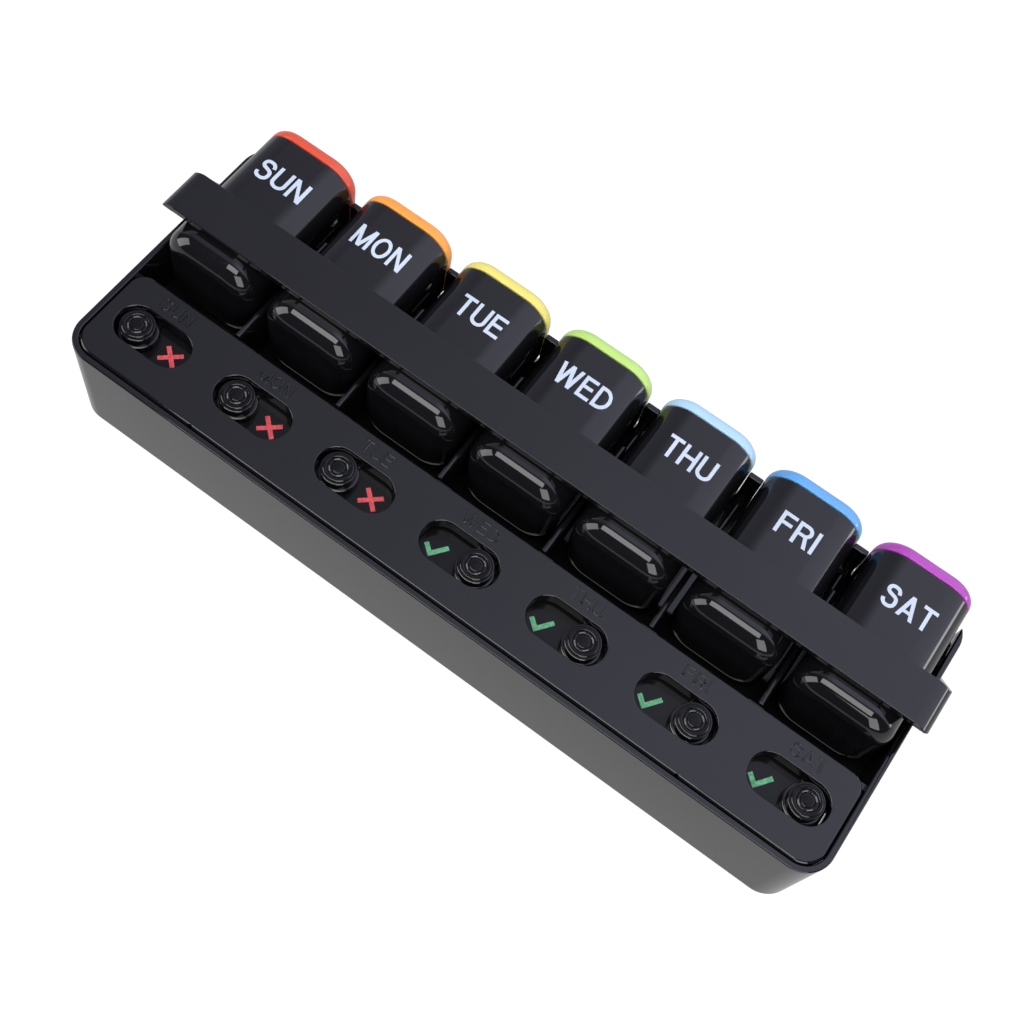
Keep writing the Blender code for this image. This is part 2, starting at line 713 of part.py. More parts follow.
def build_lid_pin(day):
    x = day_x(day)
    origin = (x, HINGE_Y, HINGE_Z)
    length = LID_KNUCKLE + 2 * (EAR_WIDTH + HINGE_SIDE_GAP)
    pin = hinge_disc(x, length, LID_PIN_RADIUS, PIN_STEPS, origin)
    part("lid_pin_" + day, pin, steel(), origin)


def tangent(point, centre, radius, side):
    """Angle on the circle at which a line from the point touches it, on the given side."""
    dx, dy = point[0] - centre[0], point[1] - centre[1]
    return math.atan2(dy, dx) + side * math.acos(radius / math.hypot(dx, dy))


def bar_side_outline():
    """The bar seen from the side: the flat strip on top, and an arm that narrows down and back to its hub."""
    front, back = BAR_Y, BAR_Y + BAR_WIDTH
    centre = (PIVOT_Y, PIVOT_Z)
    rear = tangent((back, BAR_BOTTOM), centre, ARM_HUB, -1)
    fore = tangent((front, BAR_BOTTOM), centre, ARM_HUB, 1)
    hub = arc(centre, ARM_HUB, rear, fore - FULL_TURN, ROUND_STEPS // 2)
    return [(front, BAR_BOTTOM), (front, BAR_TOP), (back, BAR_TOP), (back, BAR_BOTTOM), *hub]


def bar_front_outline():
    """The bar seen from the front: an upturned U with rounded folds."""
    low = PIVOT_Z - ARM_HUB - OVERRUN
    outer = rounded((-ARM_OUTER, low), (ARM_OUTER, BAR_TOP), [0, 0, BAR_FOLD, BAR_FOLD], FOLD_STEPS)
    folds = [0, 0, BAR_INNER_FOLD, BAR_INNER_FOLD]
    inner = rounded((-ARM_INNER, low), (ARM_INNER, BAR_BOTTOM), folds, FOLD_STEPS)
    return outer[1:] + outer[:1] + inner[:1] + inner[:0:-1]


def build_bar():
    """The bar over the pods, its origin on the pivot."""
    middle = (PIVOT_Y, PIVOT_Z)
    origin = (0.0, *middle)
    reach = ARM_OUTER + OVERRUN
    mesh = slab(bar_side_outline(), -reach, reach, "X", (), origin)
    bar = part("lock_bar", mesh, black(), origin)
    folded = slab(bar_front_outline(), BAR_Y - OVERRUN, PIVOT_Y + ARM_HUB + OVERRUN, "Y")
    combine(bar, helper("keep_bar", folded), "INTERSECT")
    for name, side in SIDES.items():
        ends = across(side, ARM_INNER - OVERRUN, reach)
        hole = disc(middle, PIVOT_RADIUS + PIVOT_CLEARANCE, *ends, axis="X", steps=SEAT_STEPS)
        cut(bar, helper("cut_arm_" + name, hole))
        ends = across(side, ARM_OUTER - PIVOT_HEAD - CLEARANCE, reach)
        seat = disc(middle, PIVOT_HEAD_RADIUS + CLEARANCE, *ends, axis="X", steps=SEAT_STEPS)
        cut(bar, helper("cut_head_" + name, seat))


def build_pivot_pins():
    """Headed pins through the bar's arms, held in the bosses of the tray."""
    middle = (PIVOT_Y, PIVOT_Z)
    for name, side in SIDES.items():
        ends = across(side, ARM_OUTER - PIVOT_HEAD, ARM_OUTER)
        head = disc(middle, PIVOT_HEAD_RADIUS, *ends, axis="X", steps=SEAT_STEPS)
        pin = part("pivot_pin_" + name, head, steel())
        ends = across(side, INSIDE - PIVOT_BOSS, ARM_OUTER - PIVOT_HEAD / 2)
        shank = disc(middle, PIVOT_RADIUS, *ends, axis="X", steps=SMALL_STEPS)
        join(pin, helper("add_pin_" + name, shank))


def stand_on_table():
    for item in (*PARTS.objects, *CUTTERS.objects):
        item.location.z -= TABLE


def build():
    global PARTS, CUTTERS
    clear_scene()
    PARTS = new_collection("pill_organizer")
    CUTTERS = new_collection("cutters", hidden=True)
    build_tray()
    build_base_plate()
    build_screws()
    build_feet()
    build_panel()
    build_slot_plate()
    build_buttons()
    for day in DAY_COLOURS:
        build_pod(day)
        build_lid(day)
        build_lid_pin(day)
    build_bar()
    build_pivot_pins()
    stand_on_table()


build()
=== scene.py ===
"""Looks of the weekly pill organizer: pieces, materials, marks, floor, light and camera."""
import json
import math

import bmesh
import bpy
from mathutils import Matrix, Vector

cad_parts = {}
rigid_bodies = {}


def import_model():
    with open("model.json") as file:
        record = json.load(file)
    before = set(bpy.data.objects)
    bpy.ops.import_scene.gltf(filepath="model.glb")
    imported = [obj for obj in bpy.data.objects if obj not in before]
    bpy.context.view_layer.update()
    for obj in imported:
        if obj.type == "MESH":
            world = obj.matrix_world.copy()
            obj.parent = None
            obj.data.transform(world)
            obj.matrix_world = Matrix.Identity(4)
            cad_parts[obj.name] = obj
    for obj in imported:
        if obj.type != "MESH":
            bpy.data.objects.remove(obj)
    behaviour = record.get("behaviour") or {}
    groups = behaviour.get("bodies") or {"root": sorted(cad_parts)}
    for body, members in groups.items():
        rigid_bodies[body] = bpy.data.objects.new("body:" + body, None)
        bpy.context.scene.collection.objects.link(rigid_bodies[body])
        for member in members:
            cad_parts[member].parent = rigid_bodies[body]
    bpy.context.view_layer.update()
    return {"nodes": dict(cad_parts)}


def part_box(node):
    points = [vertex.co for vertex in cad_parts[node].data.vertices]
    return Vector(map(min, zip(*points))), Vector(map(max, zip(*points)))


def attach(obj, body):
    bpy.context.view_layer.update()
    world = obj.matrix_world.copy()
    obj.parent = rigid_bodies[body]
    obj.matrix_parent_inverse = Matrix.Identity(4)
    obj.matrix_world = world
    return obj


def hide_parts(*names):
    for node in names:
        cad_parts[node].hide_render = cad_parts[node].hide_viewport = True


for startup in list(bpy.data.objects):
    bpy.data.objects.remove(startup, do_unlink=True)
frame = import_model()

# Lengths here are millimetres; meshes are scaled to metres as they are made
MM = 0.001
QUARTER = math.pi / 2
THIRDS = (0.0, QUARTER / 3, 2 * QUARTER / 3, QUARTER)
DAYS = ("sun", "mon", "tue", "wed", "thu", "fri", "sat")
SIDES = {"left": -1, "right": 1}
FEET = range(1, 5)

# How far a cutter reaches past the form, and how far a joined form reaches into it
PAST = 1.0
SUNK = 0.5
CLEARANCE = 0.3


def box(node):
    """Low and high corner of a CAD node in millimetres."""
    low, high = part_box(node)
    return low / MM, high / MM


TRAY_LOW, TRAY_HIGH = box("base_tray")
PANEL_LOW, PANEL_HIGH = box("front_panel")
PLATE_LOW, PLATE_HIGH = box("slot_plate")
BAR_LOW, BAR_HIGH = box("lock_bar")
BASE_LOW, BASE_HIGH = box("base_plate")
POD_LOW, POD_HIGH = box("pod_wed")
LID_LOW, LID_HIGH = box("lid_wed")

# Tray
TRAY_CORNER = 8.2
TRAY_WALL = 1.7
TRAY_EDGE = 0.35
POCKET_DEPTH = 27.2
CROSS_WALL = 1.5
DECK = 1.6
LEDGE = 2.0
LEDGE_SHORT = 9.0
RIB = 1.6
RIB_LENGTH = 37.5
RIB_FRONT = 0.6
RIB_DROP = 0.3
LOW_RIB_DROP = 8.0
RIB_EDGE = 0.7
POST_RADIUS = 3.2
POST_INSET = 6.8
WEB_HALF = 0.8
BOSS_RADIUS = 3.3
BOSS = 3.0
BOSS_BORE = 1.65
NOTCH_SIDE = 0.12
NOTCH_DROP = 1.4

# Under plate, feet and screws
PLATE_EDGE = 0.2
FOOT_RADIUS = 5.0
FOOT_EDGE = 0.3
SCREW_BORE = 1.35
SCREW_DEPTH = 8.0
SCREW_HOLE = 1.5
SCREW_SEAT = 2.7
SCREW_SINK = 1.5
SCREW_HEAD = 1.0
SCREW_SHANK = 1.2
SCREW_POINT = 0.3
THREAD = 0.2
THREAD_ENDS = 2.4
THREAD_STEPS = 13
RECESS_DEPTH = 0.7
RECESS_ARMS = ((1.3, 0.25), (0.25, 1.3))

# Front panel
SLOT_LENGTH = 21.9
SLOT_WIDTH = 11.0
SLOT_SHARE = 0.581
COLLAR_WALL = 1.2
COLLAR_DROP = 4.0
PANEL_THICKNESS = 2.0
PANEL_FRONT_CORNER = 6.0
PANEL_BACK_CORNER = 4.5
PANEL_EDGE = 0.85
PANEL_BORDER = 1.5
SLOT_EDGE = 0.3
NICK_RADIUS = 0.7
NICK_SHARE = 0.643

# Slide markers: the profile gives radii and drops below the top, from the middle outwards
MARKER_PROFILE = (
    (0.0, 0.05), (1.45, 0.05), (1.56, 0.08), (1.64, 0.18), (1.68, 0.38), (1.92, 0.38),
    (1.96, 0.16), (2.02, 0.05), (2.12, 0.0), (2.44, 0.0), (2.54, 0.05), (2.60, 0.16),
    (2.64, 0.38), (2.88, 0.38), (2.92, 0.16), (2.98, 0.05), (3.08, 0.0), (3.62, 0.0),
    (3.78, 0.05), (3.87, 0.14), (3.9, 0.3), (3.9, 0.5), (4.3, 0.5), (4.48, 0.55),
    (4.57, 0.65), (4.6, 0.85), (4.6, 3.2), (5.0, 3.22), (5.15, 3.28), (5.22, 3.38), (5.25, 3.5),
)
MARKER_SKIRT = 5.25
DULL_DEPTH = 0.7
WING_HALF = 3.0
WING_REACH = 6.6
WING_DROPS = (4.8, 4.2)
DASH_RADII = (2.4, 2.15)
DASH_TURN = 0.33

# Pods and lids
POD_CORNER = 8.2
LEAST_CORNER = 0.4
POD_NOSE = 5.0
POD_WALL = 1.4
POD_LIP = 0.25
LID_ROUND = 3.0
LID_STEPS = 12
LID_LIP = 0.3
LID_RECESS = 0.5
LID_SKIRT = 2.0
SKIRT_WALL = 1.2
SKIRT_CLEARANCE = 0.4
SKIRT_EDGE = 0.2
HINGE_IN = 2.0
HINGE_UP = 1.0
BARREL = 1.5
BARREL_EDGE = 0.15
KNUCKLE = 8.4
EAR = 2.8
EAR_LOW = 0.15
EAR_RISE = 1.2
RELIEF_RISE = 1.8
LID_PIN = 0.6
PIN_EDGE = 0.1
PIN_PLAY = 0.15
KNUCKLE_BORE_HALF = 6.0
EAR_BORE_HALF = 3.0

# Bar
BAR_THICKNESS = 1.8
BAR_FOLD = 5.0
BAR_WIDTH = 13.0
BAR_EDGE = 0.25
ARM_HUB = 4.5
PIVOT_IN = 11.7
PIVOT_UP = 11.0
PIVOT_RADIUS = 1.5
PIVOT_PLAY = 0.2
PIVOT_TIP = 0.2
PIVOT_HEAD = 0.8
PIVOT_HEAD_RADIUS = 2.8

# Places that follow from the CAD's boxes
RIM = TRAY_HIGH.z
HALF = TRAY_HIGH.x
INSIDE = HALF - TRAY_WALL
TRAY_FRONT, TRAY_BACK = TRAY_LOW.y, TRAY_HIGH.y
POCKET_BACK = TRAY_FRONT + POCKET_DEPTH
BAY_FRONT = POCKET_BACK + CROSS_WALL
BAY_BACK = TRAY_BACK - TRAY_WALL
SLOT_Y = TRAY_FRONT + POCKET_DEPTH * SLOT_SHARE
POD_FRONT = POD_LOW.y
POD_BACK = BAY_BACK
POD_TOP = POD_HIGH.z
POD_BOTTOM = LID_LOW.z + BARREL - HINGE_UP
POD_HALF = (LID_HIGH.x - LID_LOW.x) / 2
DECK_TOP = POD_BOTTOM - CLEARANCE
LID_FRONT = POD_BACK + CLEARANCE
LID_BACK = LID_HIGH.y
HINGE_Z = POD_BOTTOM + HINGE_UP
HINGE = (LID_FRONT + HINGE_IN, HINGE_Z)
PIVOT_Y = TRAY_BACK - PIVOT_IN
PIVOT_Z = TRAY_LOW.z + PIVOT_UP
PIVOT = (PIVOT_Y, PIVOT_Z)


def middle_x(node):
    low, high = box(node)
    return (low.x + high.x) / 2


def day_x(day):
    return middle_x("lid_" + day)


# Outlines and forms

def arc(centre, radius, start, end, steps):
    turns = [start + (end - start) * i / steps for i in range(steps + 1)]
    return [(centre[0] + radius * math.cos(a), centre[1] + radius * math.sin(a)) for a in turns]


def rounded(low, high, radii, steps=14):
    """A rectangle with a radius for each corner, from lower left round to upper left."""
    corners = (
        (low[0], low[1], 1, 1, 2 * QUARTER),
        (high[0], low[1], -1, 1, 3 * QUARTER),
        (high[0], high[1], -1, -1, 0.0),
        (low[0], high[1], 1, -1, QUARTER),
    )
    points = []
    for (x, y, sx, sy, start), radius in zip(corners, radii):
        centre = (x + sx * radius, y + sy * radius)
        points += arc(centre, radius, start, start + QUARTER, steps) if radius else [(x, y)]
    return points


def stadium(middle, length, width, steps=32):
    reach = (length - width) / 2
    right = arc((middle[0] + reach, middle[1]), width / 2, -QUARTER, QUARTER, steps)
    left = arc((middle[0] - reach, middle[1]), width / 2, QUARTER, 3 * QUARTER, steps)
    return right + left


def along(axis, u, v, w):
    """A point given by its place in an outline and its place along the axis."""
    return {"X": (w, u, v), "Y": (u, w, v), "Z": (u, v, w)}[axis]


def loft(rings):
    """A closed form through rings of equal length, with a face over the first and the last."""
    form = bmesh.new()
    made = [[form.verts.new(point) for point in ring] for ring in rings]
    for near, far in zip(made, made[1:]):
        for i in range(len(near)):
            j = (i + 1) % len(near)
            form.faces.new((near[i], near[j], far[j], far[i]))
    form.faces.new(list(reversed(made[0])))
    form.faces.new(made[-1])
    bmesh.ops.recalc_face_normals(form, faces=form.faces)
    return form


def slab(outline, start, end, axis="Z"):
    return loft([[along(axis, u, v, w) for u, v in outline] for w in (start, end)])


def block(low, high):
    corners = [(low[0], low[1]), (high[0], low[1]), (high[0], high[1]), (low[0], high[1])]
    return slab(corners, low[2], high[2])


def turned(profile, centre=(0.0, 0.0), axis="Z", steps=64):
    """A profile of (radius, place on the axis) pairs turned round the axis, closed at its ends."""
    least = 0.01
    last = 2 * math.pi * (steps - 1) / steps
    rings = []
    for radius, level in profile:
        ring = arc(centre, max(radius, least), 0.0, last, steps - 1)
        rings.append([along(axis, u, v, level) for u, v in ring])
    return loft(rings)


def rod(centre, radius, start, end, axis="Z", edge=0.0, steps=48):
    """A cylinder, with its end edges rounded where edge is given."""
    if not edge:
        return turned([(radius, start), (radius, end)], centre, axis, steps)
    ends = []
    for level, inward in ((start, 1), (end, -1)):
        step = [(radius - edge + edge * math.sin(a), level + inward * edge * (1 - math.cos(a)))
                for a in THIRDS]
        ends += step if inward > 0 else reversed(step)
    return turned(ends, centre, axis, steps)


def from_form(form, name="helper"):
    mesh = bpy.data.meshes.new(name)
    form.to_mesh(mesh)
    form.free()
    made = bpy.data.objects.new(name, mesh)
    bpy.context.scene.collection.objects.link(made)
    return made


def carved(form, joins=(), cuts=(), within=(), merge=0.002):
    """The form with the joins added and the cuts taken away, kept only within the last ones."""
    base = from_form(form)
    helpers = []
    for group, operation in ((joins, "UNION"), (cuts, "DIFFERENCE"), (within, "INTERSECT")):
        for other in group:
            helper = from_form(other)
            helpers.append(helper)
            step = base.modifiers.new("step", "BOOLEAN")
            step.operation = operation
            step.solver = "EXACT"
            step.object = helper
    graph = bpy.context.evaluated_depsgraph_get()
    mesh = bpy.data.meshes.new_from_object(base.evaluated_get(graph))
    result = bmesh.new()
    result.from_mesh(mesh)
    for helper in (base, *helpers):
        bpy.data.objects.remove(helper)
    bmesh.ops.remove_doubles(result, verts=result.verts, dist=merge)
    return result


def eased(form, width, steps=2, wanted=lambda edge: True):
    """The form with its wanted sharp edges rounded."""
    least_turn = 0.6
    form.normal_update()
    sharp = [
        edge for edge in form.edges
        if len(edge.link_faces) == 2 and edge.calc_face_angle(0.0) > least_turn and wanted(edge)
    ]
    bmesh.ops.bevel(
        form, geom=sharp, offset=width, offset_type="OFFSET", segments=steps,
        profile=0.5, affect="EDGES", clamp_overlap=False,
    )
    return form


def at_level(*levels, axis=2):
    """Picks edges that lie in one of these planes."""
    near = 0.02

    def test(edge):
        return any(all(abs(v.co[axis] - level) < near for v in edge.verts) for level in levels)
    return test


def at_border(edge, low, high):
    """Tells whether an edge lies near the outline of the panel."""
    middle = (edge.verts[0].co + edge.verts[1].co) / 2
    gaps = (middle.x - low.x, high.x - middle.x, middle.y - low.y, high.y - middle.y)
    return min(gaps) < PANEL_BORDER


def piece(name, form, material, body, nodes=(), sharp=0.55):
    """Makes the form a shown piece of the object, riding on its body."""
    bmesh.ops.scale(form, vec=(MM, MM, MM), verts=form.verts)
    bmesh.ops.recalc_face_normals(form, faces=form.faces)
    made = from_form(form, name)
    made.data.materials.append(material)
    made.data.shade_smooth()
    made.data.set_sharp_from_angle(angle=sharp)
    weigh = made.modifiers.new("even_shading", "WEIGHTED_NORMAL")
    weigh.keep_sharp = True
    weigh.weight = 50
    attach(made, body)
    if nodes:
        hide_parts(*nodes)
    return made


# Materials

def fill(links, socket, value):
    """Links the socket to a node's output, or sets its value."""
    if isinstance(value, bpy.types.NodeSocket):
        links.new(value, socket)
    else:
        socket.default_value = value


class Tree:
    """The node tree of a new material or of a world, with short ways to add nodes."""

    def __init__(self, holder, shader):
        self.holder = holder
        holder.use_nodes = True
        self.nodes = holder.node_tree.nodes
        self.links = holder.node_tree.links
        self.shader = self.nodes[shader]

    def add(self, kind, settings=None, **inputs):
        """A node with its inputs filled, each named, or numbered after an underscore."""
        node = self.nodes.new("ShaderNode" + kind)
        for key, value in (settings or {}).items():
            setattr(node, key, value)
        for key, value in inputs.items():
            name = int(key[1:]) if key[0] == "_" else key.replace("_", " ")
            fill(self.links, node.inputs[name], value)
        return node

    def span(self, value, low, high, new_low, new_high, settings=None):
        """The value's range low to high brought to a new range."""
        made = self.add("MapRange", settings, _0=value, _1=low, _2=high, _3=new_low, _4=new_high)
        return made.outputs[0]

    def combine(self, operation, first, second):
        return self.add("Math", {"operation": operation}, _0=first, _1=second).outputs[0]

    def blend(self, share, first, second):
        made = self.add("Mix", {"data_type": "RGBA"}, _0=share, _6=(*first, 1.0), _7=(*second, 1.0))
        return made.outputs[2]

    def set(self, **inputs):
        for key, value in inputs.items():
            fill(self.links, self.shader.inputs[key.replace("_", " ")], value)
        return self.holder


class Plastic(Tree):
    """The node tree of a new material with noises and bumps."""

    def __init__(self, name):
        super().__init__(bpy.data.materials.new(name), "Principled BSDF")
        self.place = self.nodes.new("ShaderNodeTexCoord").outputs["Object"]

    def noise(self, scale, detail, rough=0.5):
        made = self.add("TexNoise", Scale=scale, Detail=detail, Roughness=rough, Vector=self.place)
        return made.outputs["Fac"]

    def spread(self, noise, low, high):
        """The middle range of a noise brought to a new range."""
        return self.span(noise, 0.3, 0.7, low, high)

    def bump(self, height, distance, under=None):
        made = self.add("Bump", Strength=1.0, Distance=distance, Height=height)
        if under:
            self.links.new(under, made.inputs["Normal"])
        return made.outputs["Normal"]


def moulded(name, colour, lighter, gloss, grain, waviness=0.00002, **more):
    """Moulded plastic: faint colour drift, a rippled skin and a gloss that varies."""
    tree = Plastic(name)
    drift = tree.noise(28.0, 2.0)
    skin = tree.noise(1500.0, 2.0)
    flow = tree.noise(60.0, 1.0)
    tone = tree.blend(tree.spread(drift, 0.0, 1.0), colour, lighter)
    shine = tree.spread(skin, *gloss)
    normal = tree.bump(skin, grain, tree.bump(flow, waviness))
    return tree.set(Base_Color=tone, Roughness=shine, Normal=normal, **more)


def stone(name, colour, lighter, roughness, scale, depth, metallic=0.0, patches=40.0):
    """A dull grained surface, such as rubber, print or spark-eroded plastic."""
    tree = Plastic(name)
    grain = tree.noise(scale, 4.0, 0.65)
    drift = tree.noise(patches, 2.0)
    tone = tree.blend(tree.spread(drift, 0.0, 1.0), colour, lighter)
    shine = tree.spread(grain, roughness - 0.08, roughness + 0.08)
    normal = tree.bump(grain, depth)
    return tree.set(Base_Color=tone, Roughness=shine, Metallic=metallic, Normal=normal)


INK = ((0.0042, 0.0042, 0.0050), (0.0060, 0.0060, 0.0072))
SATIN_INK = ((0.0050, 0.0050, 0.0058), (0.0070, 0.0070, 0.0080))
BLACK = moulded("gloss_black", *INK, (0.04, 0.08), 0.0000008, 0.000006)
SATIN = moulded(
    "satin_black", *SATIN_INK, (0.10, 0.15), 0.0000008, 0.000006, Specular_IOR_Level=0.22)
DULL = moulded("dull_black", *INK, (0.18, 0.26), 0.0000012, Specular_IOR_Level=0.14)
GRAINED = stone(
    "grained_black", (0.012, 0.012, 0.013), (0.018, 0.018, 0.019), 0.42, 2600.0, 0.00002)
RUBBER = stone("grey_rubber", (0.05, 0.05, 0.053), (0.075, 0.075, 0.078), 0.78, 3200.0, 0.00003)
STEEL = stone("steel", (0.5, 0.5, 0.51), (0.6, 0.6, 0.61), 0.28, 5000.0, 0.000004, 1.0)
PRINT = stone("printed_white", (0.48, 0.56, 0.66), (0.58, 0.65, 0.75), 0.45, 4000.0, 0.000003)
# Pale grey for four arcs on each marker's ridge ring: painted highlights standing in for the lamps
# caught on the ridge
RIDGE_HIGHLIGHT = stone("painted_ridge_highlight", (0.10, 0.10, 0.11), (0.15, 0.15, 0.16), 0.4, 4000.0, 0.000003)
GREEN = stone(
    "printed_green", (0.05, 0.28, 0.12), (0.16, 0.50, 0.26), 0.5, 2500.0, 0.000006, patches=1300.0)
RED = stone(
    "printed_red", (0.52, 0.035, 0.045), (0.86, 0.10, 0.11), 0.5, 2500.0, 0.000006, patches=1300.0)

LID_TONES = {
    "sun": ((0.62, 0.066, 0.030), (0.70, 0.090, 0.042)),
    "mon": ((0.88, 0.31, 0.042), (0.95, 0.37, 0.06)),
    "tue": ((0.76, 0.66, 0.14), (0.84, 0.74, 0.19)),
    "wed": ((0.46, 0.70, 0.16), (0.53, 0.77, 0.21)),
    "thu": ((0.38, 0.60, 0.79), (0.44, 0.66, 0.85)),
    "fri": ((0.11, 0.35, 0.70), (0.15, 0.41, 0.77)),
    "sat": ((0.39, 0.050, 0.40), (0.46, 0.075, 0.47)),
}


def lid_material(day):
    return moulded(
        "lid_" + day, *LID_TONES[day], (0.12, 0.18), 0.000002,
        Subsurface_Weight=0.25, Subsurface_Radius=(0.002, 0.002, 0.002), Subsurface_Scale=1.0,
    )


# Tray, panel and what is under them

def post_places():
    xs = (-(HALF - POST_INSET), HALF - POST_INSET)
    ys = (TRAY_FRONT + POST_INSET, TRAY_BACK - POST_INSET)
    return [(x, y) for y in ys for x in xs]


def tray_hollows(deck_low, seat):
    """The pocket under the panel, the pods' bay, the space below it and the rear notches."""
    inner = TRAY_CORNER - TRAY_WALL
    below, above = TRAY_LOW.z - PAST, RIM + PAST
    shelf = RIM - PANEL_THICKNESS - CLEARANCE
    near, far = POCKET_BACK - PAST, BAY_FRONT + PAST
    pocket = rounded(
        (-INSIDE, TRAY_FRONT + TRAY_WALL), (INSIDE, POCKET_BACK), [inner, inner, 0, 0])
    space = rounded((-INSIDE, BAY_FRONT), (INSIDE, BAY_BACK), [0, 0, inner, inner])
    hollows = [
        slab(pocket, below, above),
        block((-INSIDE, BAY_FRONT, DECK_TOP), (INSIDE, BAY_BACK, above)),
        slab(space, below, deck_low),
        block((-INSIDE, near, shelf), (INSIDE, far, above)),
        block((-INSIDE, near, below), (INSIDE, far, seat)),
    ]
    half = POD_HALF + NOTCH_SIDE
    for day in DAYS:
        x = day_x(day)
        low, high = (x - half, POD_BOTTOM - NOTCH_DROP), (x + half, above)
        notch = rounded(low, high, [POD_CORNER, POD_CORNER, 0, 0])
        hollows.append(slab(notch, BAY_BACK - SUNK, TRAY_BACK + PAST, "Y"))
    return hollows


def tray_ribs():
    """The ribs between the pods, high in front and low beside the lids."""
    ribs = []
    places = [day_x(day) for day in DAYS]
    step = BAY_FRONT + RIB_LENGTH
    lengths = (
        (BAY_FRONT + RIB_FRONT, step, RIM - RIB_DROP),
        (step - SUNK, BAY_BACK + SUNK, RIM - LOW_RIB_DROP),
    )
    for a, b in zip(places, places[1:]):
        x = (a + b) / 2
        for near, far, top in lengths:
            rib = block((x - RIB / 2, near, DECK_TOP - SUNK), (x + RIB / 2, far, top))
            ribs.append(eased(rib, RIB_EDGE, 4, at_level(top)))
    return ribs


def make_tray():
    bottom = TRAY_LOW.z
    deck_low = DECK_TOP - DECK
    seat = bottom + BASE_HIGH.z - BASE_LOW.z + CLEARANCE
    outline = rounded((-HALF, TRAY_FRONT), (HALF, TRAY_BACK), [TRAY_CORNER] * 4, 20)
    form = carved(slab(outline, bottom, RIM), cuts=tray_hollows(deck_low, seat))
    rims, rear = at_level(RIM, bottom), at_level(TRAY_BACK, axis=1)
    form = eased(form, TRAY_EDGE, 3, lambda edge: rims(edge) or rear(edge))
    joins = tray_ribs()
    reach = INSIDE - LEDGE_SHORT
    ledge_top = PLATE_LOW.z - CLEARANCE
    ledges = ((TRAY_FRONT + 1.2, TRAY_FRONT + 3.3), (POCKET_BACK - 1.6, POCKET_BACK + 0.5))
    for near, far in ledges:
        joins.append(block((-reach, near, ledge_top - LEDGE), (reach, far, ledge_top)))
    cuts = []
    for x, y in post_places():
        top = ledge_top if y < 0 else deck_low + SUNK
        joins.append(rod((x, y), POST_RADIUS, seat, top))
        near, far = sorted((x, math.copysign(INSIDE + SUNK, x)))
        joins.append(block((near, y - WEB_HALF, seat), (far, y + WEB_HALF, top)))
        cuts.append(rod((x, y), SCREW_BORE, seat - PAST, bottom + SCREW_DEPTH))
    for side in SIDES.values():
        near, far = sorted((side * (INSIDE - BOSS), side * (INSIDE + SUNK)))
        joins.append(rod(PIVOT, BOSS_RADIUS, near, far, "X"))
        near, far = sorted((side * (INSIDE - BOSS - PAST), side * (HALF + PAST)))
        cuts.append(rod(PIVOT, BOSS_BORE, near, far, "X"))
    piece("tray_body", carved(form, joins, cuts), BLACK, "tray", ["base_tray"])


def foot(number):
    """A rubber foot's middle, underside and top."""
    low, high = box(f"rubber_foot_{number}")
    return ((low.x + high.x) / 2, (low.y + high.y) / 2), low.z, high.z


def make_base():
    low, high = BASE_LOW, BASE_HIGH
    radius = TRAY_CORNER - TRAY_WALL - CLEARANCE
    outline = rounded((low.x, low.y), (high.x, high.y), [radius] * 4)
    cuts = []
    for place in post_places():
        cuts.append(rod(place, SCREW_HOLE, low.z - PAST, high.z + PAST))
        cuts.append(rod(place, SCREW_SEAT, low.z - PAST, low.z + SCREW_SINK))
    for number in FEET:
        middle, _, top = foot(number)
        seat = rod(middle, FOOT_RADIUS + CLEARANCE, low.z - PAST, top + CLEARANCE, steps=64)
        cuts.append(seat)
    form = carved(slab(outline, low.z, high.z), cuts=cuts)
    form = eased(form, PLATE_EDGE, 2, at_level(low.z))
    piece("under_plate", form, GRAINED, "tray", ["base_plate"])


def make_feet():
    for number in FEET:
        middle, low, high = foot(number)
        form = rod(middle, FOOT_RADIUS, low, high, edge=FOOT_EDGE, steps=72)
        name = f"foot_pad_{number}"
        piece(name, form, RUBBER, "tray", [f"rubber_foot_{number}"])


def make_screws():
    """Screws with a cross recess in the head and rings for the thread."""
    for number, (x, y) in enumerate(post_places(), 1):
        low, high = (corner.z for corner in box(f"screw_{number}"))
        neck = low + SCREW_HEAD
        profile = [(0.0, low), (1.9, low), (2.2, low + 0.12), (2.4, low + 0.4), (2.4, neck)]
        profile.append((SCREW_SHANK, neck))
        for i in range(THREAD_STEPS):
            level = neck + (high - low - THREAD_ENDS) * (i + 1) / THREAD_STEPS
            profile.append((SCREW_SHANK - THREAD * (i % 2), level))
        profile.append((SCREW_POINT, high))
        cross = [
            block((x - across, y - up, low - PAST), (x + across, y + up, low + RECESS_DEPTH))
            for across, up in RECESS_ARMS
        ]
        form = carved(turned(profile, (x, y), steps=40), cuts=cross)
        piece(f"screw_head_{number}", form, STEEL, "tray", [f"screw_{number}"])


